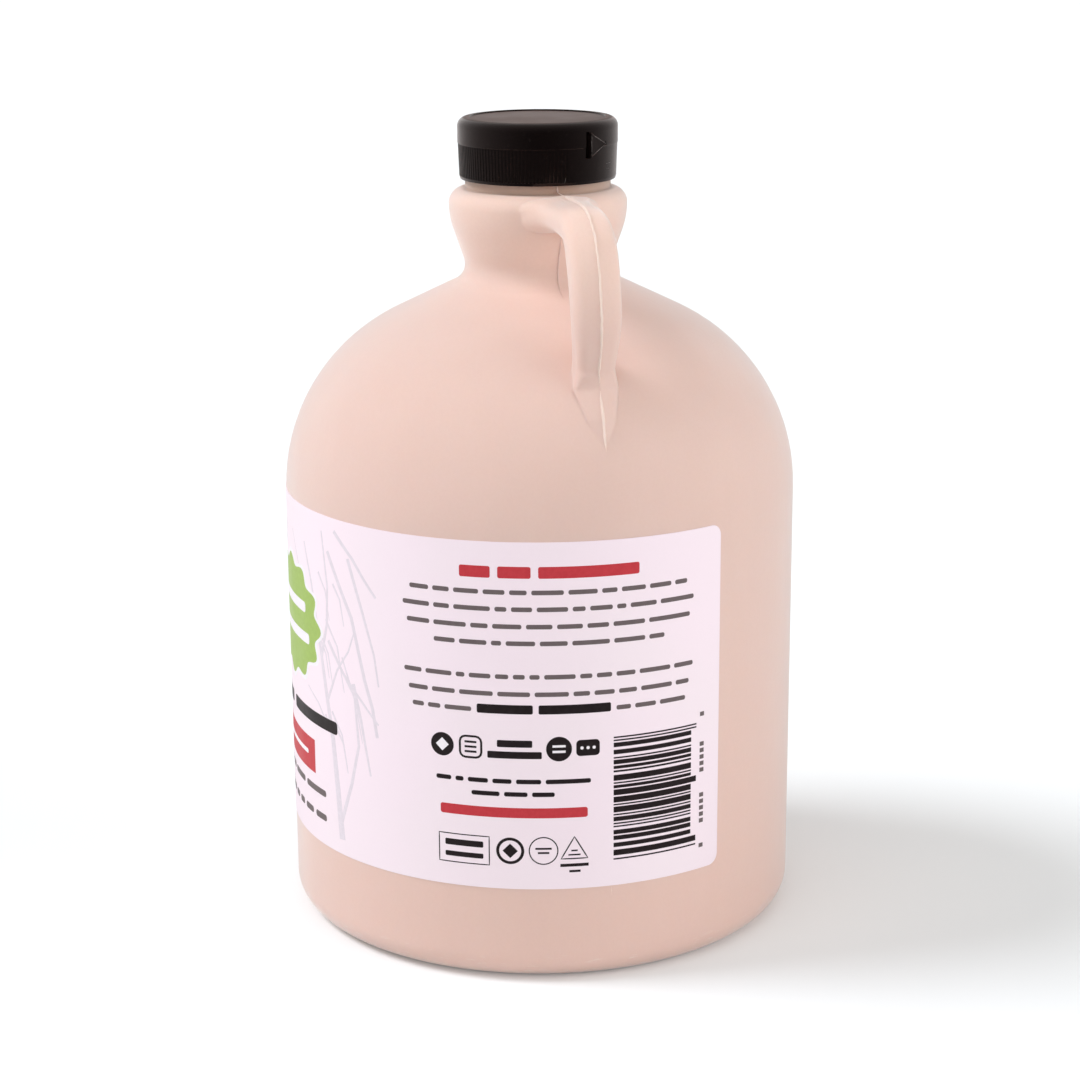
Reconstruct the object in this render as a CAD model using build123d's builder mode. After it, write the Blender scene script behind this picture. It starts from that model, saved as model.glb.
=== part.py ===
"""Maple syrup jug: a round blow-moulded jug with a loop handle, its screw cap and its label.

Frame: +Z up, origin at the centre of the base, handle towards +X, middle of the label's front
panel towards -Y. Millimetres and degrees.
"""

import os
from math import atan2, cos, degrees, pi, radians, sin, tan

from build123d import *

# ---- Driving dimensions ---------------------------------------------------------------------
# Body: straight wall, round shoulder, cone and waist, each tangent to the next.
BODY_RADIUS = 66.0
WALL_HEIGHT = 112.2  # from the floor to where the shoulder starts to turn
BASE_CORNER = 7.0  # round of the base's outer edge
FOOT_RING = 8.0  # width of the flat ring that the jug stands on
BASE_RISE = 3.0  # how far the middle of the base is pushed up
SHOULDER_RADIUS = 50.0
SHOULDER_TURN = 64.0  # degrees that the shoulder's arc turns inwards

# Neck: the finish that the cap screws on, a bulge below it, and a flare in to the waist.
FINISH_RADIUS = 18.5
LEDGE_WIDTH = 0.3  # flat between the finish and the bulge's round top
BULGE_STEP = 4.2  # how far the bulge stands out past the finish
BULGE_BEND = 20.0  # side of the bulge
WAIST_INSET = 3.9  # how far the waist is drawn in from the bulge
WAIST_BEND = 5.0  # hollow bend between the shoulder and the neck
FLARE_LEAN = 19.0  # degrees from upright

# Cap.
CAP_CLEARANCE = 0.2  # around the finish
CAP_LIFT = 2.4  # gap between the ledge and the cap's lower edge
CAP_HEIGHT = 15.3
CAP_SKIRT = 1.6  # wall of the smooth band
CAP_HEM = 0.7  # plain tapered edge below the ribs
CAP_TAPER = 0.3  # how much slimmer the ribbed band is at its lower end
CAP_RIB_BAND = 8.2  # height of the ribbed band
CAP_RIBS = 132  # as many as would fit all round
CAP_RIB_DEPTH = 0.22
CAP_STEP = 0.12  # how much the smooth band stands out past the ribs
CAP_EDGE = 2.3  # round of the top's outer edge
CAP_RIM = 0.9  # from the rim's crest to the recess
CAP_RECESS = 0.3  # depth of the top inside its rim
CAP_PANEL = 1.6  # thickness of the top
ARROW_HEIGHT = 6.6
ARROW_LENGTH = 6.0
ARROW_PROUD = 0.3
ARROW_BEVEL = 0.25
ARROW_SLOT = 1.0  # width of the slot behind it
ARROW_DROP = 0.1  # from the foot of the edge's round down to the arrow
ARROW_TURN = 32.6  # degrees from the handle to the middle of the arrow
PAD_BEHIND = 24.0  # degrees without ribs behind the middle of the arrow
PAD_AHEAD = 60.0  # and ahead of it

# Handle: seam line along its outer face, and the section behind that line.
HANDLE_RISE = 0.4  # top of the arm above the ledge
HANDLE_BOW = 2.2  # how far the grip bows out past its heel
HANDLE_BEND_DROP = 29.0  # from the top of the arm down to where the grip bows out most
HANDLE_BEND = (  # places on the bend: in from the grip's bow, down from the arm, heading
    (21.0, 0.0, -3.0),
    (10.0, 2.4, -28.0),
    (4.4, 8.0, -60.0),
    (1.2, 17.0, -82.0),
)
ROOT_SINK = 7.9  # how far the arm starts inside the bulge
ROOT_WIDTH = 25.0  # there
ROOT_DEPTH = 11.4
ROOT_FLANK = 3.0  # slope in degrees of the section's outer face, either side of the seam
BULGE_WIDTH = 17.0  # where the arm leaves the bulge
BULGE_DEPTH = 9.0
ARM_START = 4.0  # from the bulge to where the arm has its full depth
ARM_WIDTH = 13.6
ARM_DEPTH = 8.4
ARM_ROUNDS = (3.0, 4.0)  # corners of the section: outer, inner
BEND_DEPTH = 9.6
GRIP_WIDTH = 12.0  # at the top of the grip
GRIP_DEPTH = 10.8
GRIP_FLANK = 10.0
GRIP_ROUNDS = (3.0, 5.0)
BOW_WIDTH = 11.2  # where the grip bows out most
HEEL_WIDTH = 9.8  # lower end of the grip
HEEL_FLANK = 14.0
HEEL_ROUNDS = (2.4, 4.4)
HEEL_LIFT = 2.0  # from the heel up to the end of the grip
HEEL_TURN = 42.8  # where the grip lands, as degrees round the shoulder's arc
HEEL_PROUD = 3.4  # seam above the shoulder there

# Foot: a roof-shaped wedge that runs from the heel down the shoulder to a point.
KNUCKLE_LEAD = 1.2  # degrees from the heel to the widest place
KNUCKLE_WIDTH = 11.2
KNUCKLE_FLANK = 27.0
FOOT_SPAN = 18.0  # degrees from the heel to the toe
FOOT_PROUD = 1.8  # seam above the shoulder half way
FOOT_WIDTH = 7.6
FOOT_FLANK = 24.0
FOOT_DEPTH = 9.0  # how far its sections reach into the shoulder
FOOT_ROUNDS = (1.2, 1.0)
TOE_SINK = 0.2  # seam below the shoulder at the toe
TOE_WIDTH = 2.4

# Label: a thin sleeve round part of the wall.
LABEL_THICKNESS = 0.2
LABEL_BOTTOM = 25.0
LABEL_LAP = 1.0  # how far it runs up past the start of the shoulder
LABEL_WRAP = 233.4  # degrees, with its middle towards -Y
LABEL_CORNER = 2.8

# ---- Heights and radii that follow from them ------------------------------------------------
shoulder_centre = (BODY_RADIUS - SHOULDER_RADIUS, WALL_HEIGHT)


def shoulder_point(turn, proud=0.0):
    """Point (r, z) at an angle round the shoulder's arc, standing proud of it."""
    reach = SHOULDER_RADIUS + proud
    return (
        shoulder_centre[0] + reach * cos(radians(turn)),
        shoulder_centre[1] + reach * sin(radians(turn)),
    )


bulge_radius = FINISH_RADIUS + BULGE_STEP
waist_radius = bulge_radius - WAIST_INSET
cone_slope = 90.0 - SHOULDER_TURN
cone_start = shoulder_point(SHOULDER_TURN)
cone_end_radius = waist_radius + WAIST_BEND * (1 - sin(radians(cone_slope)))
cone_rise = (cone_start[0] - cone_end_radius) * tan(radians(cone_slope))
cone_end = (cone_end_radius, cone_start[1] + cone_rise)
lean = radians(FLARE_LEAN)
flare_out = WAIST_INSET - (WAIST_BEND + BULGE_BEND) * (1 - cos(lean))
flare_length = flare_out / sin(lean)
waist_height = cone_end[1] + WAIST_BEND * cos(radians(cone_slope))
flare_rise = (WAIST_BEND + BULGE_BEND) * sin(lean) + flare_length * cos(lean)
bulge_top = BULGE_STEP - LEDGE_WIDTH
ledge_height = waist_height + flare_rise + bulge_top
cap_bottom = ledge_height + CAP_LIFT
cap_top = cap_bottom + CAP_HEIGHT
lip_height = cap_top - CAP_RECESS - CAP_PANEL
cap_bore = FINISH_RADIUS + CAP_CLEARANCE
cap_radius = cap_bore + CAP_SKIRT
arrow_height = cap_top - CAP_EDGE - ARROW_DROP - ARROW_HEIGHT / 2
label_height = WALL_HEIGHT + LABEL_LAP - LABEL_BOTTOM


# ---- Jug ------------------------------------------------------------------------------------
def handle_section(plane, width, depth, flank, rounds):
    """Closed face with its crest at the plane's origin, local +X outwards, local Y across."""
    round_front, round_back = rounds
    half = width / 2
    slope = radians(flank)
    front_y = half - round_front * (1 - sin(slope))
    front_x = -front_y * tan(slope)
    side_x = front_x - round_front * cos(slope)
    back_x = -depth + round_back
    back_y = half - round_back
    with BuildSketch(plane) as section:
        with BuildLine():
            Line((0, 0), (front_x, front_y))
            RadiusArc((front_x, front_y), (side_x, half), -round_front)
            Line((side_x, half), (back_x, half))
            RadiusArc((back_x, half), (-depth, back_y), -round_back)
            Line((-depth, back_y), (-depth, -back_y))
            RadiusArc((-depth, -back_y), (back_x, -half), -round_back)
            Line((back_x, -half), (side_x, -half))
            RadiusArc((side_x, -half), (front_x, -front_y), -round_front)
            Line((front_x, -front_y), (0, 0))
        make_face()
    return section.sketch


def station(place, heading):
    """Plane across the handle: local X outwards from its seam, local Z along its heading."""
    turn = radians(heading)
    along = (cos(turn), 0, sin(turn))
    outwards = (-sin(turn), 0, cos(turn))
    return Plane(origin=(place[0], 0, place[1]), x_dir=outwards, z_dir=along)


arm_top = ledge_height + HANDLE_RISE
heel = shoulder_point(HEEL_TURN, HEEL_PROUD)
reach = heel[0] + HANDLE_BOW
knuckle = shoulder_point(HEEL_TURN - KNUCKLE_LEAD, HEEL_PROUD)
mid_foot = shoulder_point(HEEL_TURN - FOOT_SPAN / 2, FOOT_PROUD)
toe = shoulder_point(HEEL_TURN - FOOT_SPAN, -TOE_SINK)
foot_heading = degrees(atan2(toe[1] - knuckle[1], toe[0] - knuckle[0]))
bend = [((reach - back, arm_top - down), heading) for back, down, heading in HANDLE_BEND]
bow = (reach, arm_top - HANDLE_BEND_DROP)
above_heel = (heel[0] + 0.8, heel[1] + 3 * HEEL_LIFT)
grip_end = (heel[0] + 0.2, heel[1] + HEEL_LIFT)

# Stations down the handle: place (x, z) of the seam, heading, width, depth, flank, rounds.
grip_stations = [
    ((bulge_radius - ROOT_SINK, arm_top), 0, ROOT_WIDTH, ROOT_DEPTH, ROOT_FLANK, ARM_ROUNDS),
    ((bulge_radius, arm_top), 0, BULGE_WIDTH, BULGE_DEPTH, ROOT_FLANK + 2, ARM_ROUNDS),
    ((bulge_radius + ARM_START, arm_top), 0, ARM_WIDTH, ARM_DEPTH, ROOT_FLANK + 4, ARM_ROUNDS),
    (*bend[0], GRIP_WIDTH, ARM_DEPTH, GRIP_FLANK - 1, ARM_ROUNDS),
    (*bend[1], GRIP_WIDTH, BEND_DEPTH, GRIP_FLANK, GRIP_ROUNDS),
    (*bend[2], GRIP_WIDTH, GRIP_DEPTH, GRIP_FLANK, GRIP_ROUNDS),
    (*bend[3], GRIP_WIDTH, GRIP_DEPTH, GRIP_FLANK, GRIP_ROUNDS),
    (bow, -90, BOW_WIDTH, GRIP_DEPTH, GRIP_FLANK, GRIP_ROUNDS),
    (above_heel, -97, HEEL_WIDTH, GRIP_DEPTH, GRIP_FLANK, HEEL_ROUNDS),
    (grip_end, -93, HEEL_WIDTH, GRIP_DEPTH, HEEL_FLANK, HEEL_ROUNDS),
]
foot_stations = [
    grip_stations[-1],
    (knuckle, foot_heading - 10, KNUCKLE_WIDTH, FOOT_DEPTH, KNUCKLE_FLANK, FOOT_ROUNDS),
    (mid_foot, foot_heading, FOOT_WIDTH, FOOT_DEPTH, FOOT_FLANK, FOOT_ROUNDS),
    (toe, foot_heading, TOE_WIDTH, FOOT_DEPTH, FOOT_FLANK / 2, FOOT_ROUNDS),
]


def sections(stations):
    """Sections of the handle at a run of stations."""
    return [handle_section(station(place, heading), *sizes) for place, heading, *sizes in stations]


with BuildPart() as jug:
    with BuildSketch(Plane.XZ):
        with BuildLine():
            ring_inner = BODY_RADIUS - BASE_CORNER - FOOT_RING
            push_up = ThreePointArc(
                (0, BASE_RISE), (ring_inner / 2, BASE_RISE * 0.7), (ring_inner, 0)
            )
            ring = Line(push_up @ 1, (ring_inner + FOOT_RING, 0))
            corner = JernArc(ring @ 1, ring % 1, BASE_CORNER, 90)
            wall = Line(corner @ 1, (BODY_RADIUS, WALL_HEIGHT))
            shoulder = JernArc(wall @ 1, wall % 1, SHOULDER_RADIUS, SHOULDER_TURN)
            cone = Line(shoulder @ 1, cone_end)
            waist = JernArc(cone @ 1, cone % 1, WAIST_BEND, -(SHOULDER_TURN + FLARE_LEAN))
            flare_end = waist @ 1 + flare_length * (waist % 1)
            flare = Line(waist @ 1, flare_end)
            bulge = JernArc(flare @ 1, flare % 1, BULGE_BEND, FLARE_LEAN)
            bulge_round = JernArc(bulge @ 1, bulge % 1, bulge_top, 90)
            Polyline(
                bulge_round @ 1,
                (FINISH_RADIUS, ledge_height),
                (FINISH_RADIUS, lip_height),
                (0, lip_height),
                (0, BASE_RISE),
            )
        make_face()
    revolve(axis=Axis.Z)
    loft(sections(grip_stations))
    loft(sections(foot_stations), ruled=True)
jug.part.label = "jug"


# ---- Cap ------------------------------------------------------------------------------------
rib_crest = cap_radius - CAP_STEP
ribbed_span = 360 - PAD_BEHIND - PAD_AHEAD
grooves = round(CAP_RIBS * ribbed_span / 360)
groove_radius = 0.36 * 2 * pi * rib_crest / CAP_RIBS
groove_lean = degrees(atan2(CAP_TAPER, CAP_RIB_BAND))
band_middle = cap_bottom + CAP_HEM + CAP_RIB_BAND / 2
band_top = cap_bottom + CAP_HEM + CAP_RIB_BAND
recess_floor = cap_top - CAP_RECESS
rim_inner = cap_radius - CAP_EDGE - CAP_RIM

with BuildPart() as cap:
    with BuildSketch(Plane.XZ):
        with BuildLine():
            skirt = Polyline(
                (cap_bore, lip_height),
                (cap_bore, cap_bottom),
                (rib_crest - CAP_TAPER - CAP_RIB_DEPTH, cap_bottom),
                (rib_crest - CAP_TAPER, cap_bottom + CAP_HEM),
                (rib_crest, band_top),
                (cap_radius, band_top + CAP_STEP),
                (cap_radius, cap_top - CAP_EDGE),
            )
            edge = JernArc(skirt @ 1, (0, 1), CAP_EDGE, 90)
            Polyline(
                edge @ 1,
                (rim_inner + CAP_RECESS / 2, cap_top),
                (rim_inner, recess_floor),
                (0, recess_floor),
                (0, lip_height),
                (cap_bore, lip_height),
            )
        make_face()
    revolve(axis=Axis.Z)
    # Grip ribs: the grooves between them, left out where the arrow's plain pad is.
    groove_place = Location(
        (rib_crest - CAP_TAPER / 2 + groove_radius - CAP_RIB_DEPTH, 0, band_middle),
        (0, groove_lean, 0),
    )
    with PolarLocations(0, grooves, ARROW_TURN + PAD_AHEAD, ribbed_span):
        with Locations(groove_place):
            Cylinder(groove_radius, CAP_RIB_BAND - CAP_STEP, mode=Mode.SUBTRACT)
    # Arrow: a raised triangle that points round the cap, with a slot behind its flat edge.
    arrow_plane = Plane(
        origin=(0, 0, arrow_height), x_dir=(0, 1, 0), z_dir=(1, 0, 0)
    ).rotated((0, 0, ARROW_TURN))
    with BuildSketch(arrow_plane.offset(cap_radius - 2 * ARROW_SLOT)):
        with Locations((-(ARROW_LENGTH + ARROW_SLOT) / 2, 0)):
            Rectangle(ARROW_SLOT, ARROW_HEIGHT)
        with Locations((ARROW_LENGTH / 2, 0)):
            Circle(ARROW_SLOT / 2)
    extrude(amount=3 * ARROW_SLOT, mode=Mode.SUBTRACT)
    with BuildSketch(arrow_plane.offset(cap_radius - CAP_SKIRT / 2)):
        with BuildLine():
            Polyline(
                (-ARROW_LENGTH / 2, -ARROW_HEIGHT / 2),
                (ARROW_LENGTH / 2, 0),
                (-ARROW_LENGTH / 2, ARROW_HEIGHT / 2),
                close=True,
            )
        make_face()
    extrude(amount=CAP_SKIRT / 2 + ARROW_PROUD)
    arrow_face = cap.faces().filter_by(GeomType.PLANE).sort_by(arrow_plane.location.z_axis)[-1]
    chamfer(arrow_face.edges(), ARROW_BEVEL)
cap.part.label = "cap"


# ---- Label ----------------------------------------------------------------------------------
with BuildPart() as label:
    with BuildSketch(Plane.XZ.rotated((0, 0, -90 - LABEL_WRAP / 2))):
        with Locations((BODY_RADIUS + LABEL_THICKNESS / 2, LABEL_BOTTOM + label_height / 2)):
            Rectangle(LABEL_THICKNESS, label_height)
    revolve(axis=Axis.Z, revolution_arc=LABEL_WRAP)
    corner_edges = label.edges().filter_by(lambda edge: edge.length < 2 * LABEL_THICKNESS)
    fillet(corner_edges, LABEL_CORNER)
label.part.label = "label"

os.makedirs("parts", exist_ok=True)
export_step(jug.part, "parts/jug.step")
export_step(cap.part, "parts/cap.step")
export_step(label.part, "parts/label.step")
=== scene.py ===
import math
import random

import bpy
from mathutils import Matrix, Vector
from mathutils.bvhtree import BVHTree


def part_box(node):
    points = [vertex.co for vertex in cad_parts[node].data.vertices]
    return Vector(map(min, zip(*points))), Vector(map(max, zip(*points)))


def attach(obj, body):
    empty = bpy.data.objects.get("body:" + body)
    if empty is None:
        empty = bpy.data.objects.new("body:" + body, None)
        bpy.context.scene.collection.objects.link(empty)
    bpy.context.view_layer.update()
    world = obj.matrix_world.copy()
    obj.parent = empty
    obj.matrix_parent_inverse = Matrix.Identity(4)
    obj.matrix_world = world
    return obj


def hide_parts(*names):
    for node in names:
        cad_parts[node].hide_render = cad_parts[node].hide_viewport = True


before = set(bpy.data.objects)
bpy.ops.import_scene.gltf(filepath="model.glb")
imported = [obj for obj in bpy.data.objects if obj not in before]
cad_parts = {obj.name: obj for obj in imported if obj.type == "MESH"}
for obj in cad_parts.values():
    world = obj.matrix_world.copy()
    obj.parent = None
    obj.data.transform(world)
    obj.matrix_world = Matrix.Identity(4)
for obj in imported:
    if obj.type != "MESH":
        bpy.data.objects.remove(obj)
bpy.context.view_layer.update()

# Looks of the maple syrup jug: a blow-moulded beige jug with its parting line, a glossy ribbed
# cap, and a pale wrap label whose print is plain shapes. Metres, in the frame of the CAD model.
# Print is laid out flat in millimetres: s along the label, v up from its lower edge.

jug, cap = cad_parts["jug"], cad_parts["cap"]

# ---- Sizes ----------------------------------------------------------------------------------
MM = 0.001
label_low, label_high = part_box("label")
label_radius = -label_low.y / MM  # outside of the label
label_bottom = label_low.z / MM
label_height = (label_high.z - label_low.z) / MM
label_half = label_radius * (math.pi / 2 + math.asin(label_high.y / (label_radius * MM)))
wall_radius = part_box("jug")[1].y / MM
FILM_CORNER = 2.8
FILM_SUNK = 0.02  # how far the film's inside lies in the wall
INK = 0.015  # height of one layer of ink
LAYERS = 4  # of ink, inside the label's box
STEP = 1.2  # longest piece of a shape along the label, so that it follows the curve
BACK_PANEL = 77  # degrees from the middle of the front panel to the middle of the back panel
SMOOTH_ANGLE = 30  # degrees between faces up to which they are shaded as one

# Heights and radii in metres between which the jug's colour changes
JUG_FADE = (0.010, 0.160)
NECK_FADE = (0.160, 0.178)
LEDGE_FADE = (0.1884, 0.1892)
STUB_FADE = (0.0190, 0.0200)
FOOT_FADE = (0.001, 0.009)
FILM_FADE = (0.020, 0.090)
JUG_ROUNDING = 0.0013  # distance over which shading rounds the edges of the handle and neck

# ---- Colours (linear) -----------------------------------------------------------------------
JUG_UPPER = (0.765, 0.545, 0.475)
JUG_LOWER = (0.785, 0.542, 0.467)
JUG_NECK = (0.85, 0.62, 0.53)
JUG_PAINTED_SHADE = (0.49, 0.33, 0.255)  # painted shade between the neck's ledge and the cap
# lighter than the wall: painted highlight along the parting line's ridges
JUG_SEAM_HIGHLIGHT = (0.91, 0.70, 0.60)
JUG_CLOUD = (0.70, 0.44, 0.32)
JUG_FLOW = (0.90, 0.68, 0.58)
JUG_GRAIN = (0.62, 0.38, 0.30)
JUG_RUBBED = (0.86, 0.70, 0.62)
CAP_BLACK = (0.0038, 0.0024, 0.0024)
# slightly lighter colour of the cap's top: painted reflection
CAP_TOP_PAINTED_REFLECTION = (0.008, 0.004, 0.003)
CAP_DUST = (0.10, 0.08, 0.07)
# pale strokes: painted highlights on the arrow's edges, and scratches
CAP_WEAR_AND_HIGHLIGHT = (0.16, 0.14, 0.13)
CAP_GLOSS = (1.0, 0.80, 0.76, 1.0)  # tint of its reflections
CAP_SHEEN = (1.0, 0.48, 0.35, 1.0)
FILM_PALE = (0.955, 0.805, 0.865)
FILM_CLOUD = (0.90, 0.80, 0.82)
FILM_GRAIN = (0.75, 0.66, 0.70)
INK_TEXT = (0.15, 0.115, 0.115)
INK_DARK = (0.018, 0.010, 0.011)
INK_RED = (0.56, 0.030, 0.042)
INK_GREEN = (0.36, 0.50, 0.115)
INK_PALE = (0.90, 0.84, 0.87)
INK_BRANCH = (0.75, 0.665, 0.715)
FLOOR = (0.824, 0.843, 0.845)
WHITE = (1.0, 1.0, 1.0)


# ---- Materials ------------------------------------------------------------------------------
class Nodes:
    """Shorthand for a node tree. A value may be a constant or another node's output."""

    def __init__(self, owner):
        owner.use_nodes = True
        self.tree = owner.node_tree
        self.tree.nodes.clear()

    def add(self, kind, **inputs):
        node = self.tree.nodes.new(kind)
        for key, value in inputs.items():
            if hasattr(node, key):
                setattr(node, key, value)
            else:
                self.link(value, node.inputs[key.replace("_", " ")])
        return node

    def link(self, value, socket):
        if isinstance(value, bpy.types.NodeSocket):
            self.tree.links.new(value, socket)
        elif isinstance(value, tuple) and len(value) == 3 and socket.type == "RGBA":
            socket.default_value = (*value, 1.0)
        else:
            socket.default_value = value

    def math(self, operation, a, b=0.0, c=0.0):
        node = self.tree.nodes.new("ShaderNodeMath")
        node.operation = operation
        for socket, value in zip(node.inputs, (a, b, c)):
            self.link(value, socket)
        return node.outputs[0]

    def blend(self, factor, a, b):
        """Number a at factor 0, b at factor 1."""
        node = self.tree.nodes.new("ShaderNodeMix")
        for socket, item in ((0, factor), (2, a), (3, b)):
            self.link(item, node.inputs[socket])
        return node.outputs[0]

    def mix(self, factor, a, b):
        """Colour a at factor 0, b at factor 1."""
        node = self.tree.nodes.new("ShaderNodeMix")
        node.data_type = "RGBA"
        self.link(factor, node.inputs[0])
        self.link(a, node.inputs[6])
        self.link(b, node.inputs[7])
        return node.outputs[2]

    def spread(self, value, low, high, to_low=0.0, to_high=1.0):
        """Value from low..high, clamped and smoothed, to to_low..to_high."""
        node = self.tree.nodes.new("ShaderNodeMapRange")
        node.interpolation_type = "SMOOTHSTEP"
        for socket, item in zip(node.inputs, (value, low, high, to_low, to_high)):
            self.link(item, socket)
        return node.outputs[0]

    def noise(self, place, scale, detail=2.0, rough=0.5):
        node = self.add("ShaderNodeTexNoise", Vector=place, Scale=scale, Detail=detail)
        node.inputs["Roughness"].default_value = rough
        return node.outputs[0]

    def vector(self, operation, value, other=None):
        node = self.tree.nodes.new("ShaderNodeVectorMath")
        node.operation = operation
        self.link(value, node.inputs[0])
        if other is not None:
            node.inputs[1].default_value = other
        return node.outputs

    def place(self, stretch=(1, 1, 1)):
        """Place on the object in metres, multiplied by stretch."""
        coordinates = self.tree.nodes.new("ShaderNodeTexCoord").outputs["Object"]
        if stretch == (1, 1, 1):
            return coordinates
        return self.vector("MULTIPLY", coordinates, stretch)["Vector"]

    def bump(self, height, distance, strength=1.0, below=None):
        node = self.tree.nodes.new("ShaderNodeBump")
        node.inputs["Strength"].default_value = strength
        node.inputs["Distance"].default_value = distance
        self.link(height, node.inputs["Height"])
        if below is not None:
            self.link(below, node.inputs["Normal"])
        return node.outputs[0]

    def surface(self, colour, roughness, normal=None, **constants):
        """Principled shader as the material's surface. Constants are set on its own sockets."""
        shader = self.tree.nodes.new("ShaderNodeBsdfPrincipled")
        self.link(colour, shader.inputs["Base Color"])
        self.link(roughness, shader.inputs["Roughness"])
        if normal is not None:
            self.link(normal, shader.inputs["Normal"])
        for key, value in constants.items():
            shader.inputs[key.replace("_", " ")].default_value = value
        self.output("ShaderNodeOutputMaterial", shader)

    def output(self, kind, shader):
        self.link(shader.outputs[0], self.tree.nodes.new(kind).inputs["Surface"])


def polyethylene(name, upper, lower, neck=None, shaded=None, blend=0.0):
    """Satin beige plastic: cloudy, a little darker low down as painted shade, softly wavy,
    scuffed at its foot.

    It is paler at the neck and has painted shade between the neck's ledge and the cap, where
    those colours are given. Shading is rounded over a distance of blend, if that is given,
    where faces meet.
    """
    material = bpy.data.materials.new(name)
    n = Nodes(material)
    place = n.place()
    height = n.add("ShaderNodeSeparateXYZ", Vector=place).outputs["Z"]
    # painted shade: the lower colour makes the jug a little darker low down
    colour = n.mix(n.spread(height, *JUG_FADE), lower, upper)
    if neck:
        colour = n.mix(n.spread(height, *NECK_FADE), colour, neck)
    if shaded:
        # painted shade under the cap: darker on the neck's stub above its ledge
        radius = n.vector("LENGTH", n.place((1, 1, 0)))["Value"]
        under_cap = n.spread(radius, *STUB_FADE, 1.0, 0.0)
        above_ledge = n.spread(height, *LEDGE_FADE)
        colour = n.mix(n.math("MULTIPLY", under_cap, above_ledge), colour, shaded)
    clouds = n.noise(place, 16, 3, 0.55)
    colour = n.mix(n.spread(clouds, 0.35, 0.7, 0.0, 0.10), colour, JUG_CLOUD)
    flow = n.noise(n.place((60, 60, 9)), 1.0, 3, 0.6)
    colour = n.mix(n.spread(flow, 0.4, 0.7, 0.0, 0.07), colour, JUG_FLOW)
    grain = n.noise(place, 1400, 2, 0.6)
    colour = n.mix(n.spread(grain, 0.35, 0.65, 0.0, 0.05), colour, JUG_GRAIN)
    foot = n.spread(height, *FOOT_FADE, 1.0, 0.0)
    rubs = n.spread(n.noise(n.place((120, 120, 700)), 1.0, 4, 0.7), 0.56, 0.68)
    colour = n.mix(n.math("MULTIPLY", foot, rubs), colour, JUG_RUBBED)
    roughness = n.spread(clouds, 0.3, 0.7, 0.36, 0.46)
    rounded_off = None
    if blend:
        rounded_off = n.add("ShaderNodeBevel", samples=6, Radius=blend).outputs["Normal"]
    normal = n.bump(n.noise(n.place((30, 30, 14)), 1.0, 2, 0.5), 0.0012, 0.35, rounded_off)
    normal = n.bump(n.noise(place, 420, 3, 0.55), 0.00012, 0.35, normal)
    n.surface(colour, roughness, normal, Subsurface_Weight=0.12, Subsurface_Scale=0.006,
              Subsurface_Radius=(1.0, 0.45, 0.25), Sheen_Weight=0.60, Sheen_Roughness=0.4)
    return material


def cap_plastic(name, base, top):
    """Glossy near-black plastic with a faint moulding texture, hairline scratches and dust.

    Faces that look up have the colour top, a slightly lighter painted reflection, and are
    duller.
    """
    material = bpy.data.materials.new(name)
    n = Nodes(material)
    place = n.place()
    dust = n.spread(n.noise(place, 900, 3, 0.65), 0.62, 0.74)
    facing = n.add("ShaderNodeNewGeometry").outputs["Normal"]
    upwards = n.spread(n.add("ShaderNodeSeparateXYZ", Vector=facing).outputs["Z"], 0.86, 0.98)
    # painted reflection: faces that look up are a little lighter and warmer
    colour = n.mix(upwards, base, top)
    colour = n.mix(n.math("MULTIPLY", dust, 0.10), colour, CAP_DUST)
    roughness = n.spread(n.noise(place, 60, 3, 0.6), 0.3, 0.7, 0.18, 0.26)
    roughness = n.math("ADD", roughness, n.math("MULTIPLY", upwards, 0.25))
    scratches = n.noise(n.place((900, 90, 900)), 1.0, 3, 0.6)
    normal = n.bump(scratches, 0.00004, 0.3)
    normal = n.bump(n.noise(place, 300, 2, 0.5), 0.00008, 0.35, normal)
    n.surface(colour, roughness, normal, IOR=1.5, Specular_IOR_Level=0.31,
              Specular_Tint=CAP_GLOSS, Sheen_Weight=0.13, Sheen_Roughness=0.36,
              Sheen_Tint=CAP_SHEEN)
    return material


def film(name, pale):
    """Smooth label film: faint clouds of colour and a soft ripple where it wraps the wall."""
    material = bpy.data.materials.new(name)
    n = Nodes(material)
    place = n.place()
    height = n.add("ShaderNodeSeparateXYZ", Vector=place).outputs["Z"]
    # painted shade: the label is a little darker low down
    low = tuple(0.97 * channel for channel in pale)
    colour = n.mix(n.spread(height, *FILM_FADE), low, pale)
    clouds = n.noise(place, 30, 2, 0.5)
    colour = n.mix(n.spread(clouds, 0.35, 0.7, 0.0, 0.35), colour, FILM_CLOUD)
    paper = n.noise(place, 2200, 2, 0.6)
    colour = n.mix(n.spread(paper, 0.3, 0.7, 0.0, 0.05), colour, FILM_GRAIN)
    roughness = n.spread(clouds, 0.3, 0.7, 0.40, 0.50)
    normal = n.bump(n.noise(n.place((25, 25, 8)), 1.0, 2, 0.5), 0.0010, 0.30)
    normal = n.bump(paper, 0.00002, 0.3, normal)
    n.surface(colour, roughness, normal, IOR=1.45)
    return material


def ink(name, base):
    """Printed ink: solid colour with a slight unevenness."""
    material = bpy.data.materials.new(name)
    n = Nodes(material)
    place = n.place()
    light = tuple(min(1.0, channel * 1.25 + 0.02) for channel in base)
    uneven = n.spread(n.noise(place, 900, 3, 0.6), 0.35, 0.7, 0.0, 0.22)
    roughness = n.spread(n.noise(place, 120, 2, 0.5), 0.3, 0.7, 0.42, 0.52)
    n.surface(n.mix(uneven, base, light), roughness, IOR=1.45)
    return material


# ---- Flat shapes on the label ---------------------------------------------------------------
def spans(start, end, step=STEP):
    """Evenly spaced places from start to end, no further apart than step."""
    count = max(1, math.ceil(abs(end - start) / step))
    return [start + (end - start) * i / count for i in range(count + 1)]


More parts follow.
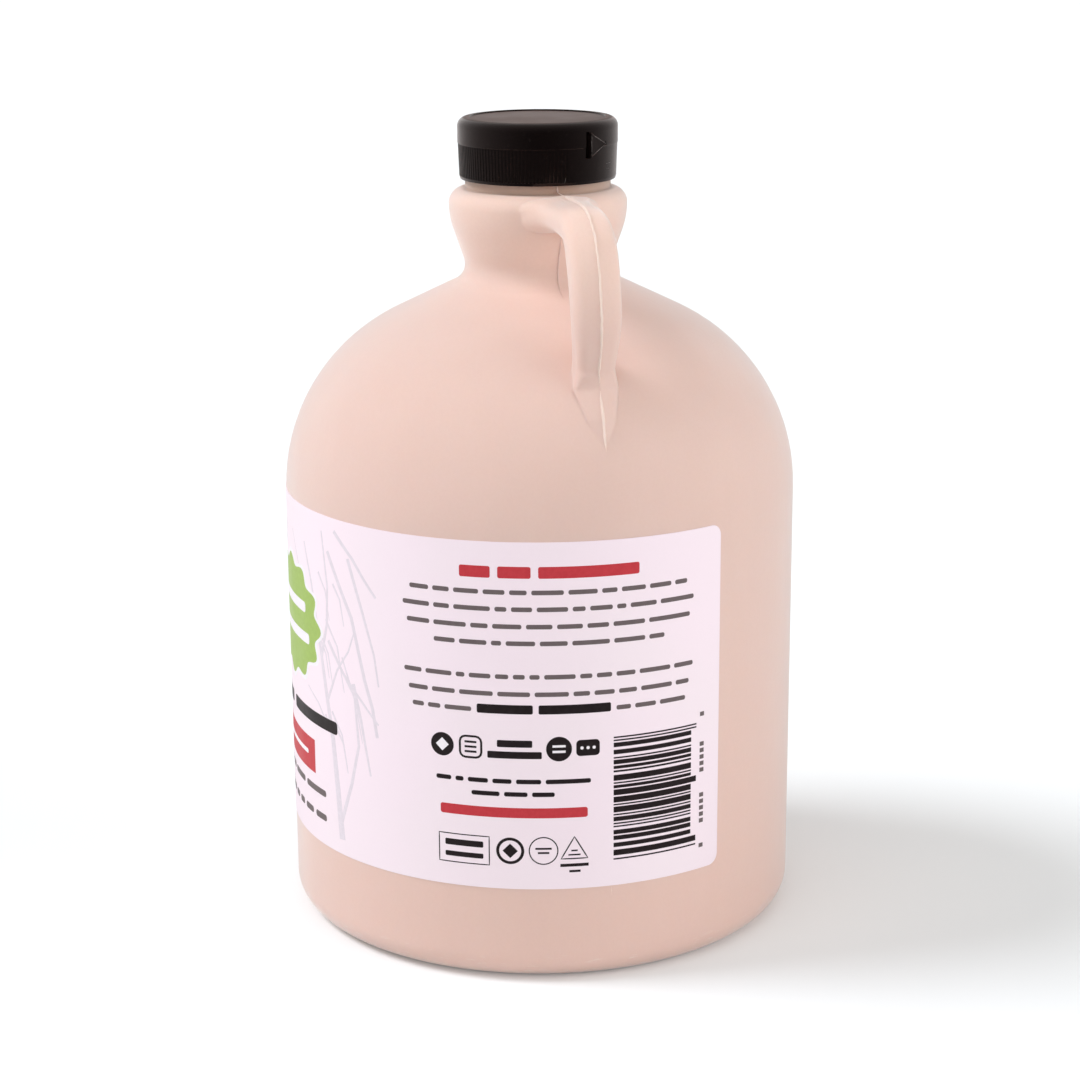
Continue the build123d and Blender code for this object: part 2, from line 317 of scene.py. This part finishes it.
def columns(places, low, high):
    """Faces between two outlines, low(s) and high(s)."""
    return [
        [(a, low(a)), (b, low(b)), (b, high(b)), (a, high(a))]
        for a, b in zip(places, places[1:])
    ]


def bar(s0, v0, s1, v1):
    """Rectangle with square corners."""
    return columns(spans(s0, s1), lambda s: v0, lambda s: v1)


def rounded(s0, v0, s1, v1, corner):
    """Rectangle with round corners."""
    turn = [corner * (1 - math.cos(math.radians(a))) for a in range(0, 91, 15)]
    places = [s0 + t for t in turn]
    places += spans(s0 + corner, s1 - corner)[1:-1]
    places += [s1 - t for t in reversed(turn)]

    def inset(s):
        depth = max(s0 + corner - s, s - s1 + corner, 0)
        return corner - math.sqrt(max(corner**2 - depth**2, 0))

    return columns(places, lambda s: v0 + inset(s), lambda s: v1 - inset(s))


def stroke(path, width, closed=False):
    """Band of one width, or one that tapers from width[0] to width[1], along a path."""
    start, end = width if isinstance(width, tuple) else (width, width)
    corners = path + path[:1] if closed else path
    points = []
    for (a, b) in zip(corners, corners[1:]):
        along = math.dist(a, b)
        for t in spans(0, along)[:-1]:
            share = t / along
            points.append((a[0] + (b[0] - a[0]) * share, a[1] + (b[1] - a[1]) * share))
    if not closed:
        points.append(corners[-1])
    sides, last = [], len(points) - 1
    for i, (s, v) in enumerate(points):
        before = points[i - 1] if i or closed else points[i]
        after = points[(i + 1) % len(points)] if i < last or closed else points[i]
        ds, dv = after[0] - before[0], after[1] - before[1]
        half = (start + (end - start) * i / last) / 2 / math.hypot(ds, dv)
        sides.append(((s + dv * half, v - ds * half), (s - dv * half, v + ds * half)))
    if closed:
        sides.append(sides[0])
    return [[a[0], b[0], b[1], a[1]] for a, b in zip(sides, sides[1:])]


def ring(s, v, radius, width):
    count = 40
    turns = [2 * math.pi * i / count for i in range(count)]
    path = [(s + radius * math.cos(t), v + radius * math.sin(t)) for t in turns]
    return stroke(path, width, closed=True)


def badge(s, v, radius, height, rings=2, count=36, lobes=0, wave=0.0):
    """Round or scalloped shape, radius wide and height high, as rings round its middle."""
    faces = []
    reach = [1 + wave * math.cos(lobes * 2 * math.pi * i / count) for i in range(count)]

    def at(k, i):
        t = 2 * math.pi * i / count
        share = k / rings * reach[i % count]
        return (s + radius * share * math.cos(t), v + height * share * math.sin(t))

    for i in range(count):
        faces.append([at(0, 0), at(1, i), at(1, i + 1)])
        for k in range(1, rings):
            faces.append([at(k, i), at(k + 1, i), at(k + 1, i + 1), at(k, i + 1)])
    return faces


def disc(s, v, radius):
    return badge(s, v, radius, radius)


def box_outline(s0, v0, s1, v1, width):
    return stroke([(s0, v0), (s1, v0), (s1, v1), (s0, v1)], width, closed=True)


def words(rng, s0, s1, base, height):
    """A line of print as plain bars, as long as words are. The last one ends at s1."""
    shortest, longest, gap = 1.1, 5.0, 0.6  # as shares of the height
    low, high, corner = base + 0.18 * height, base + 0.80 * height, 0.25 * height
    faces, s = [], s0
    while s < s1:
        end = s + height * rng.uniform(shortest, longest)
        if s1 - end < (shortest + gap) * height:
            end = s1
        faces += rounded(s, low, end, high, corner)
        s = end + gap * height
    return faces


def moved(faces, ds, dv, side=1):
    """Faces moved, and mirrored about the panel's middle first where side is -1."""
    return [[(side * s + ds, v + dv) for s, v in face][::side] for face in faces]


def on_label(name, faces, material, bottom, top, centre=0.0):
    """Closed thin mesh of flat faces, wrapped round the jug's wall between two radii.

    Centre is the panel's middle, in degrees from the middle of the front panel.
    """
    shift = math.radians(centre) * label_radius
    index, flat, polygons = {}, [], []
    for face in faces:
        loop = []
        for s, v in face:
            key = (round(s, 4), round(v, 4))
            if key not in index:
                index[key] = len(flat)
                flat.append(key)
            if index[key] not in loop:
                loop.append(index[key])
        if len(loop) > 2:
            polygons.append(loop)
    edges = {(a, b) for loop in polygons for a, b in zip(loop, loop[1:] + loop[:1])}
    count = len(flat)
    solid = polygons + [[i + count for i in reversed(loop)] for loop in polygons]
    solid += [[b, a, a + count, b + count] for a, b in edges if (b, a) not in edges]
    points = []
    for radius in (top, bottom):
        for s, v in flat:
            turn = (s + shift) / label_radius - math.pi / 2
            place = (radius * math.cos(turn), radius * math.sin(turn), label_bottom + v)
            points.append([c * MM for c in place])
    return piece(name, points, solid, material)


def piece(name, points, faces, material):
    """New mesh object with the given material, parented to the root body so that it rides with
    the jug.
    """
    mesh = bpy.data.meshes.new(name)
    mesh.from_pydata(points, [], faces)
    mesh.update()
    mesh.shade_smooth()
    mesh.materials.append(material)
    made = bpy.data.objects.new(name, mesh)
    bpy.context.scene.collection.objects.link(made)
    bpy.context.view_layer.objects.active = made
    made.select_set(True)
    bpy.ops.object.shade_smooth_by_angle(angle=math.radians(SMOOTH_ANGLE))
    made.select_set(False)
    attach(made, "root")
    return made


# ---- Label and its print --------------------------------------------------------------------
def back_panel(rng):
    """Print of the panel on the handle's side, by ink: (s, v) from the panel's middle."""
    red = []
    for s0, s1 in ((-22, -14.4), (-12.6, -4.6), (-2.8, 22)):
        red += rounded(s0, 79.3, s1, 82.2, 0.5)
    red += rounded(-27.7, 18.6, 9, 21.2, 0.6)
    text = []
    for half, base in ((35.2, 74.9), (37.2, 70.7), (36.1, 66.4), (28.8, 62.2),
                       (37.1, 53.8), (35.9, 49.4)):
        text += words(rng, -half, half, base, 1.85)
    for s0, s1 in ((-34.9, -19.4), (16.2, 34.9)):
        text += words(rng, s0, s1, 45.2, 1.85)
    dark = rounded(-18, 45.3, -4.3, 47.6, 0.4) + rounded(-2.9, 45.3, 14.8, 47.6, 0.4)
    dark += disc(-27, 36.4, 3.0) + disc(2.0, 36.4, 3.15)
    dark += stroke(outline(-22.4, 33.7, -17.0, 39.1, 1.4), 0.55, closed=True)
    for v in (34.9, 36.15, 37.4):
        dark += bar(-21.2, v, -18.2, v + 0.55)
    dark += rounded(6.2, 34.4, 12.0, 38.5, 1.0)
    dark += rounded(-13.1, 36.8, -4.5, 38.6, 0.3) + rounded(-15.5, 33.9, -2.2, 35.7, 0.3)
    dark += words(rng, -28.7, 9.8, 27.1, 1.85) + words(rng, -19.6, 0.9, 23.8, 1.85)
    dark += box_outline(-28.2, 6, -15.3, 13.4, 0.28)
    dark += rounded(-26.6, 10.4, -16.8, 12.0, 0.3) + rounded(-26.6, 7.5, -16.8, 8.8, 0.3)
    dark += ring(-10.1, 10.0, 3.1, 0.75) + lozenge(-10.1, 10.0, 1.9)
    dark += ring(-1.9, 10.1, 3.5, 0.3) + bar(-3.9, 10.4, 0.1, 10.9) + bar(-3.3, 9.3, -0.5, 9.8)
    dark += stroke([(2.4, 7.9), (9.0, 7.9), (5.7, 13.6)], 0.32, closed=True)
    dark += bar(4.2, 8.7, 7.2, 9.1) + bar(4.9, 9.8, 6.5, 10.2)
    dark += bar(2.2, 5.8, 9.2, 6.6) + bar(4.4, 4.3, 7.2, 4.9)
    dark += stripes(rng, 15.5, 36.9, 6.7, 39.0)
    for start, count in ((5.6, 1), (12.2, 5), (25.6, 5), (40.2, 1)):
        for k in range(count):
            text += bar(39.6, start + 1.7 * k, 40.9, start + 1.7 * k + 1.1)
    pale = lozenge(-27, 36.4, 1.7) + bar(0.4, 36.8, 3.6, 37.4) + bar(0.4, 35.4, 3.6, 36.0)
    for s in (7.6, 9.1, 10.6):
        pale += badge(s, 36.45, 0.42, 0.42, 1, 16)
    return red, text, dark, pale


def lozenge(s, v, reach):
    """Square that stands on its corner."""
    return columns([s - reach, s, s + reach], lambda t: v - reach + abs(t - s),
                   lambda t: v + reach - abs(t - s))


def outline(s0, v0, s1, v1, corner):
    """Path round a rectangle with round corners."""
    path = []
    for s, v, start in ((s1 - corner, v1 - corner, 0), (s0 + corner, v1 - corner, 90),
                        (s0 + corner, v0 + corner, 180), (s1 - corner, v0 + corner, 270)):
        for turn in range(start, start + 91, 30):
            t = math.radians(turn)
            path.append((s + corner * math.cos(t), v + corner * math.sin(t)))
    return path


def stripes(rng, s0, s1, v0, v1):
    """Block of plain bars of uneven thickness, longer at its ends and in its middle."""
    thicknesses, gaps = (0.4, 0.5, 0.8, 1.15, 1.5), (0.34, 0.38, 0.38, 0.7)
    thinnest, guard, end_block, half_middle = 0.35, 1.6, 2.2, 0.9
    faces, v = [], v0
    while v < v1 - thinnest:
        thick = min(rng.choice(thicknesses), v1 - v)
        longer = min(v - v0, v1 - v) < end_block or abs(v - (v0 + v1) / 2) < half_middle
        faces += bar(s0, v, s1 + (guard if longer else 0), v + thick)
        v += thick + rng.choice(gaps)
    return faces


def front_panel(rng):
    """Print of the front panel, by ink: badge, title, red box, small lines."""
    scallops = dict(count=144, lobes=12, wave=0.07)
    rim = badge(0, 57, 21.2, 16.2, 16, **scallops)
    green = badge(0, 57, 20.0, 15.1, 16, **scallops)
    pale = rounded(-12.5, 60.0, 12.5, 62.8, 0.9) + rounded(-14.5, 52.0, 14.5, 54.8, 0.9)
    dark = rounded(-28, 31.6, -2.6, 35.0, 0.9) + rounded(0.6, 31.6, 28, 35.0, 0.9)
    red = bar(-16, 18, 16, 27)
    pale += rounded(-11.5, 22.0, 11.5, 23.2, 0.4)
    text = words(rng, -21.7, 21.7, 12.6, 2.8) + words(rng, -21.7, 21.7, 6.0, 2.8)
    return rim, green, pale, dark, red, text


def facts_panel(rng):
    """Print of the third panel: a ruled table of short lines."""
    dark = box_outline(-24, 12, 24, 80, 0.45)
    dark += bar(-22.5, 68.2, 22.5, 69.6) + bar(-22.5, 57.4, 22.5, 58.2)
    dark += rounded(-21.5, 72.2, 2.0, 75.8, 0.6) + rounded(4.0, 72.2, 15.0, 75.8, 0.6)
    text = []
    for row in range(9):
        v = 17.2 + row * 4.4
        dark += bar(-22.5, v - 1.3, 22.5, v - 1.08)
        text += words(rng, -21.5, rng.uniform(-6, 4), v, 1.8)
        text += words(rng, rng.uniform(15.5, 18.5), 21.8, v, 1.8)
    text += words(rng, -21.5, 6, 60.6, 2.0) + words(rng, -21.5, 12, 64.4, 2.0)
    return text, dark


def branches(rng):
    """Bare trees behind the front panel: thin tapering strokes, fine drooping twigs."""
    trunk = [(29, 4), (27.6, 17), (26, 30), (23.6, 41), (21.5, 51), (16.9, 69), (12.9, 79)]
    limbs = [
        (trunk, (2.4, 0.7)),
        ([(28.6, 8), (33.4, 20), (36.5, 31), (35.4, 43), (30.8, 53)], (1.3, 0.5)),
        ([(43.5, 70.7), (39.8, 74.6), (35.8, 79.2), (28.7, 85)], (0.7, 1.1)),
        ([(43, 34.6), (41.6, 42), (39.2, 48.6), (34.9, 64), (25.6, 79.3)], (1.0, 1.2)),
        ([(43.8, 48), (42.5, 56), (39, 66), (34, 79)], (0.5, 1.1)),
        ([(43.5, 38), (38, 43), (31, 49), (25, 56)], (0.5, 1.2)),
        ([(40.5, 24), (37.5, 38), (35, 47)], (0.6, 1.2)),
        ([(24, 40), (28.6, 49), (33.4, 55), (36.0, 61)], (0.9, 0.4)),
        ([(21.5, 51), (24.5, 60), (25.2, 70), (23.0, 84)], (1.2, 0.6)),
        ([(19.5, 59), (14.0, 66), (8.0, 72), (3.0, 80)], (0.8, 0.4)),
        ([(25.8, 31), (19.0, 38), (13.0, 41)], (0.8, 0.4)),
    ]
    twigs, twig_width = 9, (0.8, 0.3)
    faces = []
    for path, width in limbs:
        limb = stroke(path, width)
        faces += limb + moved(limb, -2.0, 1.0, side=-1)
    for _ in range(twigs):
        s, v, drop = rng.uniform(20, 38), rng.uniform(30, 80), rng.uniform(9, 18)
        path = [(s, v), (s + 0.28 * drop, v - 0.35 * drop), (s + 0.42 * drop, v - drop)]
        twig = stroke(path, twig_width)
        faces += twig + moved(twig, -1.5, 0.7, side=-1)
    return faces


def build_label():
    rng = random.Random(7)
    film_top = label_radius - LAYERS * INK
    print_floor = film_top - INK
    layer = [film_top + INK * k for k in range(LAYERS + 1)]
    sleeve = rounded(-label_half, 0, label_half, label_height, FILM_CORNER)
    inside = wall_radius - FILM_SUNK
    made = on_label("label_film", sleeve, film("label_film", FILM_PALE), inside, film_top)
    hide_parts("label")
    inks = {
        "text": ink("ink_text", INK_TEXT), "dark": ink("ink_dark", INK_DARK),
        "red": ink("ink_red", INK_RED), "green": ink("ink_green", INK_GREEN),
        "pale": ink("ink_pale", INK_PALE), "branch": ink("ink_branch", INK_BRANCH),
    }

    def print_on(name, key, faces, level, centre=0.0):
        on_label(name, faces, inks[key], print_floor, layer[level], centre)

    print_on("print_branches", "branch", branches(rng), 1)
    rim, green, pale, dark, red, text = front_panel(rng)
    print_on("front_badge_rim", "pale", rim, 2)
    print_on("front_badge", "green", green, 3)
    print_on("front_dark", "dark", dark, 2)
    print_on("front_box", "red", red, 2)
    print_on("front_text", "text", text, 2)
    print_on("front_pale", "pale", pale, 4)
    red, text, dark, pale = back_panel(rng)
    print_on("back_red", "red", red, 1, BACK_PANEL)
    print_on("back_text", "text", text, 1, BACK_PANEL)
    print_on("back_dark", "dark", dark, 1, BACK_PANEL)
    print_on("back_pale", "pale", pale, 2, BACK_PANEL)
    text, dark = facts_panel(rng)
    print_on("facts_text", "text", text, 1, -BACK_PANEL)
    print_on("facts_dark", "dark", dark, 1, -BACK_PANEL)


# ---- Parting line ---------------------------------------------------------------------------
NEAR_PLANE = 0.00001  # just off the parting plane, so that no ray runs along an edge
RIGHT, LEFT, DOWN, UP = (-1, 0, 0), (1, 0, 0), (0, 0, -1), (0, 0, 1)  # headings of rays


def surface_tree(node):
    points = [v.co for v in node.data.vertices]
    return BVHTree.FromPolygons(points, [list(p.vertices) for p in node.data.polygons])


def cast(tree, starts, heading, y=NEAR_PLANE):
    """Where rays from (x, z) starts meet the surface: pairs of place and normal."""
    hits = []
    for x, z in starts:
        place, normal, _, _ = tree.ray_cast(Vector((x, y, z)), Vector(heading))
        if place is not None:
            hits.append((place, normal))
    return hits


def steps(start, end, step=0.0012):
    count = max(2, round(abs(end - start) / step))
    return [start + (end - start) * i / count for i in range(count + 1)]


def ridge(name, hits, width, height, material, rng):
    """Thin raised line along the places, slightly uneven and tapered at its ends."""
    top_share = 0.3  # width of its top, as a share of its foot
    points, faces, last = [], [], len(hits) - 1
    for i, (place, normal) in enumerate(hits):
        along = hits[min(i + 1, last)][0] - hits[max(i - 1, 0)][0]
        side = along.cross(normal).normalized()
        taper = min(1.0, 0.25 + min(i, last - i) / 4)
        across = side * width / 2 * taper * rng.uniform(0.85, 1.15)
        crest = height * taper * rng.uniform(0.75, 1.2)
        sway = side * rng.uniform(-0.12, 0.12) * width
        sunk = normal * width / 3
        points += [
            place - across - sunk, place - across * top_share + sway + normal * crest,
            place + across * top_share + sway + normal * crest, place + across - sunk,
        ]
    for i in range(last):
        a, b = 4 * i, 4 * i + 4
        faces += [[a + k, a + (k + 1) % 4, b + (k + 1) % 4, b + k] for k in range(4)]
    faces += [[3, 2, 1, 0], [4 * last + k for k in range(4)]]
    return piece(name, points, faces, material)


def build_parting_line():
    """Flash where the halves of the mould met: on the handle, foot, neck, wall and base."""
    rng = random.Random(11)
    tree = surface_tree(jug)
    # the lighter seams are painted highlight on their ridges
    pale = polyethylene("jug_seam_highlight", JUG_SEAM_HIGHLIGHT, JUG_SEAM_HIGHLIGHT)
    plain = polyethylene("jug_line", JUG_UPPER, JUG_LOWER)
    far, above, below = 0.12, 0.19, -0.01  # starts of rays, outside of the jug
    gap = 0.034  # between the neck and the grip
    arm_root, arm_end, bend_low = 0.0245, 0.0505, 0.1845
    heel, below_heel, toe = 0.1490, 0.1472, 0.1335
    waist_high, waist_low, pinch_reach = 0.1790, 0.1640, 0.044
    film_low, cap_bottom = label_low.z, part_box("cap")[0].z
    stub_low, stub_high = cap_bottom - 0.0022, cap_bottom - 0.0001
    tick_high, tick_low = film_low - 0.0003, film_low - 0.0024

    def seam(name, hits, width, height, material):
        ridge("seam_" + name, hits, width, height, material, rng)

    handle = cast(tree, [(x, above) for x in steps(arm_root, arm_end)], DOWN)
    handle += cast(tree, [(far, z) for z in steps(bend_low, heel)], RIGHT)
    seam("handle", handle, 0.0008, 0.00045, pale)
    foot = cast(tree, [(far, z) for z in steps(below_heel, toe)], RIGHT)
    seam("foot", foot, 0.0007, 0.00032, pale)
    creases = (("near", -0.0013, 0.0262, 0.0315), ("far", 0.0016, 0.0250, 0.0335))
    for side, y, start, end in creases:
        crease = cast(tree, [(x, above) for x in steps(start, end, 0.0008)], DOWN, y)
        seam("crease_" + side, crease, 0.0004, 0.00012, pale)
    stub = cast(tree, [(far, z) for z in steps(stub_low, stub_high, 0.0005)], RIGHT)
    seam("neck", stub, 0.0009, 0.00045, pale)
    waist = cast(tree, [(gap, z) for z in steps(waist_high, waist_low)], RIGHT)
    seam("waist", waist, 0.0006, 0.0002, plain)
    for side, start, heading in (("front", far, RIGHT), ("back", -far, LEFT)):
        tick = cast(tree, [(start, z) for z in steps(tick_high, tick_low, 0.0005)], heading)
        seam("tick_" + side, tick, 0.0005, 0.00012, pale)
    pinch = cast(tree, [(x, below) for x in steps(-pinch_reach, pinch_reach)], UP)
    seam("base", pinch, 0.0009, 0.0006, plain)


# ---- Painted highlights and wear on the cap -------------------------------------------------
ARROW_TURN = 32.6  # degrees from the handle to the middle of the cap's raised arrow
ARROW_MIDDLE = 201.0  # height
ARROW_REACH = (2.7, 2.75)  # half its length and half its height, inside its bevel
ARROW_TIP = (1.8, 0.35)  # where the painted highlights on its slopes end, beside the hole at its tip
HIGHLIGHT_AND_WEAR_HEIGHT = 0.04


def build_cap_highlight_and_wear():
    """Painted highlights along the edges of the raised arrow, and pale scratches near it.

    Lines run from start to end, (along, up) in millimetres from the arrow's middle.
    """
    rng = random.Random(5)
    material = bpy.data.materials.new("cap_wear_and_highlight")
    n = Nodes(material)
    wear_and_highlight_patches = n.noise(n.place(), 1500, 3, 0.6)
    n.surface(n.mix(n.spread(wear_and_highlight_patches, 0.4, 0.6), CAP_BLACK, CAP_WEAR_AND_HIGHLIGHT), 0.5)
    tree = surface_tree(cap)
    turn = math.radians(ARROW_TURN)
    out = Vector((math.cos(turn), math.sin(turn), 0))
    side = Vector((-math.sin(turn), math.cos(turn), 0))
    outside, pitch = 0.03, 0.07  # start of a ray, and share of a line between two rays
    u, w = ARROW_REACH
    tip, half_tip = ARROW_TIP
    lines = (
        # the arrow's three lines are painted highlights along its edges; the scratches are wear
        ("arrow_back", (-u, -w), (-u, w), 0.22),
        ("arrow_low", (-u, -w), (tip, -half_tip), 0.26),
        ("arrow_high", (-u, w), (tip, half_tip), 0.26),
        ("scratch_a", (3.4, -5.2), (6.0, -5.0), 0.16),
        ("scratch_b", (3.9, -6.3), (5.6, -6.5), 0.12),
        ("scratch_c", (-9.5, -9.0), (-8.9, -7.6), 0.12),
    )
    for name, start, end, width in lines:
        hits = []
        for share in steps(0.0, 1.0, pitch):
            s, v = (start[k] + (end[k] - start[k]) * share for k in (0, 1))
            origin = out * outside + side * s * MM + Vector((0, 0, (ARROW_MIDDLE + v) * MM))
            place, normal, _, _ = tree.ray_cast(origin, -out)
            hits.append((place, normal))
        ridge("cap_" + name, hits, width * MM, HIGHLIGHT_AND_WEAR_HEIGHT * MM, material, rng)


# ---- Floor, light and camera ----------------------------------------------------------------
CAMERA_AZIMUTH = -15.0  # angles are in degrees
CAMERA_DISTANCE = 0.6482
CAMERA_HEIGHT = 0.27084
CAMERA_PITCH = 15.094
CAMERA_ROLL = 0.3505
CAMERA_LENS = 84.99
DARK_SIDE = -5.0  # azimuth of the darkest part of what gloss sees
GLOSS_LIGHT = 0.5  # its middle brightness
GLOSS_SWING = 0.46  # how much it falls towards the dark side and rises away from it
WORLD_LIGHT = 0.48
FLOOR_LIFT = 0.11  # brightness that only the camera sees, so that the floor is near white
FLOOR_REACH = 20.0
FLOOR_DEPTH = 0.00005  # below the jug's base
SUNS = (  # name, azimuth from the camera's, elevation, strength, softness, colour
    ("key", -92, 48, 1.92, 24, (0.97, 1.0, 1.05)),
    ("fill", 75, 8, 1.72, 60, WHITE),
    ("front", -18, 45, 0.50, 60, WHITE),
)


def studio(n, direction):
    """What gloss sees of the surroundings: pale, but darker in front of the jug."""
    a = math.radians(DARK_SIDE)
    front = n.vector("DOT_PRODUCT", direction, (math.cos(a), math.sin(a), 0))["Value"]
    return n.math("MULTIPLY_ADD", front, -GLOSS_SWING, GLOSS_LIGHT)


def build_floor():
    """Pale floor that keeps the jug's shadow. Gloss sees the surroundings in its place."""
    mesh = bpy.data.meshes.new("floor")
    r = FLOOR_REACH
    corners = [(-r, -r), (r, -r), (r, r), (-r, r)]
    mesh.from_pydata([(x, y, -FLOOR_DEPTH) for x, y in corners], [], [(0, 1, 2, 3)])
    floor = bpy.data.objects.new("floor", mesh)
    bpy.context.scene.collection.objects.link(floor)
    material = bpy.data.materials.new("floor")
    n = Nodes(material)
    diffuse = n.add("ShaderNodeBsdfDiffuse", Color=FLOOR)
    path = n.add("ShaderNodeLightPath").outputs
    to_camera = n.math("MULTIPLY", path["Is Camera Ray"], FLOOR_LIFT)
    lift = n.add("ShaderNodeEmission", Color=WHITE, Strength=to_camera)
    seen = n.add("ShaderNodeAddShader")
    n.link(diffuse.outputs[0], seen.inputs[0])
    n.link(lift.outputs[0], seen.inputs[1])
    outwards = n.vector("NORMALIZE", n.place())["Vector"]
    gloss = n.add("ShaderNodeEmission", Color=WHITE, Strength=studio(n, outwards))
    both = n.add("ShaderNodeMixShader")
    n.link(path["Is Glossy Ray"], both.inputs[0])
    n.link(seen.outputs[0], both.inputs[1])
    n.link(gloss.outputs[0], both.inputs[2])
    n.output("ShaderNodeOutputMaterial", both)
    mesh.materials.append(material)


def sun(name, azimuth, elevation, strength, softness, colour):
    """Soft sun that shapes by diffuse light only: gloss sees the surroundings instead."""
    lamp = bpy.data.lights.new(name, "SUN")
    lamp.energy, lamp.color = strength, colour
    lamp.angle = math.radians(softness)
    made = bpy.data.objects.new(name, lamp)
    made.visible_glossy = False
    bpy.context.scene.collection.objects.link(made)
    a, e = math.radians(CAMERA_AZIMUTH + azimuth), math.radians(elevation)
    towards = -Vector((math.cos(a) * math.cos(e), math.sin(a) * math.cos(e), math.sin(e)))
    made.rotation_euler = towards.to_track_quat("-Z", "Y").to_euler()


def build_light():
    """Even pale surroundings and the suns: a soft key from the left, and two fills."""
    world = bpy.data.worlds.new("studio")
    bpy.context.scene.world = world
    n = Nodes(world)
    path = n.add("ShaderNodeLightPath").outputs
    gloss = studio(n, n.add("ShaderNodeTexCoord").outputs["Generated"])
    strength = n.blend(path["Is Glossy Ray"], WORLD_LIGHT, gloss)
    strength = n.blend(path["Is Camera Ray"], strength, 1.0)
    background = n.add("ShaderNodeBackground", Color=WHITE, Strength=strength)
    n.output("ShaderNodeOutputWorld", background)
    for lamp in SUNS:
        sun(*lamp)


def build_camera():
    data = bpy.data.cameras.new("camera")
    data.lens, data.sensor_width = CAMERA_LENS, 36
    data.clip_end = 100
    camera = bpy.data.objects.new("camera", data)
    bpy.context.scene.collection.objects.link(camera)
    a = math.radians(CAMERA_AZIMUTH)
    x, y = CAMERA_DISTANCE * math.cos(a), CAMERA_DISTANCE * math.sin(a)
    place = Vector((x, y, CAMERA_HEIGHT))
    camera.matrix_world = (
        Matrix.Translation(place)
        @ Matrix.Rotation(a + math.pi / 2, 4, "Z")
        @ Matrix.Rotation(math.radians(90 - CAMERA_PITCH), 4, "X")
        @ Matrix.Rotation(-math.radians(CAMERA_ROLL), 4, "Z")
    )
    bpy.context.scene.camera = camera


def recolour(node, material):
    """Give a CAD node another material."""
    node.data.materials.clear()
    node.data.materials.append(material)


jug_colours = (JUG_UPPER, JUG_LOWER, JUG_NECK, JUG_PAINTED_SHADE)
recolour(jug, polyethylene("jug_plastic", *jug_colours, JUG_ROUNDING))
recolour(cap, cap_plastic("cap_plastic", CAP_BLACK, CAP_TOP_PAINTED_REFLECTION))
build_label()
build_parting_line()
build_cap_highlight_and_wear()
build_floor()
build_light()
build_camera()
bpy.context.scene.view_settings.view_transform = "Standard"
